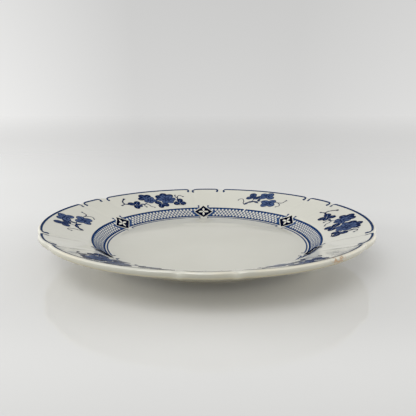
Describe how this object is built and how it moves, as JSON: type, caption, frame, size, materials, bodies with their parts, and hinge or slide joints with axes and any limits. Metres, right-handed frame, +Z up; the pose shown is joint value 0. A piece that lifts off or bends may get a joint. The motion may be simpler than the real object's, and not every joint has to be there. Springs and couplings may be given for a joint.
{
  "type": "serving platter",
  "caption": "Round china serving platter with a scalloped rim, wide sloping flange, flat well and foot ring, printed in blue with flower sprays and a trellis border.",
  "frame": {"origin": "centre of the foot ring, on the surface the platter stands on", "axes": "+Z up out of the well; +X through the middle of a full-spray lobe; +Y through the middle of a short lobe"},
  "size_m": [0.32, 0.32, 0.037],
  "materials": {
    "glazed_china": "glossy warm white glaze, unglazed foot ring",
    "cobalt_line": "cobalt line under gloss glaze",
    "cobalt_spray": "cobalt transfer print under gloss glaze",
    "cobalt_trellis": "cobalt trellis print under gloss glaze",
    "navy_medallion": "near-black navy print under gloss glaze"
  },
  "bodies": {
    "root": {"platter_body": "glazed_china", "rim_line_short_1": "cobalt_line", "rim_line_long_1": "cobalt_line", "flower_spray_1": "cobalt_spray", "trellis_band_1": "cobalt_trellis", "well_line_1": "cobalt_line", "medallion_1": "navy_medallion", "rim_line_short_2": "cobalt_line", "rim_line_long_2": "cobalt_line", "flower_spray_2": "cobalt_spray", "trellis_band_2": "cobalt_trellis", "well_line_2": "cobalt_line", "medallion_2": "navy_medallion", "rim_line_short_3": "cobalt_line", "rim_line_long_3": "cobalt_line", "flower_spray_3": "cobalt_spray", "trellis_band_3": "cobalt_trellis", "well_line_3": "cobalt_line", "medallion_3": "navy_medallion", "rim_line_short_4": "cobalt_line", "rim_line_long_4": "cobalt_line", "flower_spray_4": "cobalt_spray", "trellis_band_4": "cobalt_trellis", "well_line_4": "cobalt_line", "medallion_4": "navy_medallion", "rim_line_short_5": "cobalt_line", "rim_line_long_5": "cobalt_line", "flower_spray_5": "cobalt_spray", "trellis_band_5": "cobalt_trellis", "well_line_5": "cobalt_line", "medallion_5": "navy_medallion", "rim_line_short_6": "cobalt_line", "rim_line_long_6": "cobalt_line", "flower_spray_6": "cobalt_spray", "trellis_band_6": "cobalt_trellis", "well_line_6": "cobalt_line", "medallion_6": "navy_medallion"}
  },
  "joints": []
}
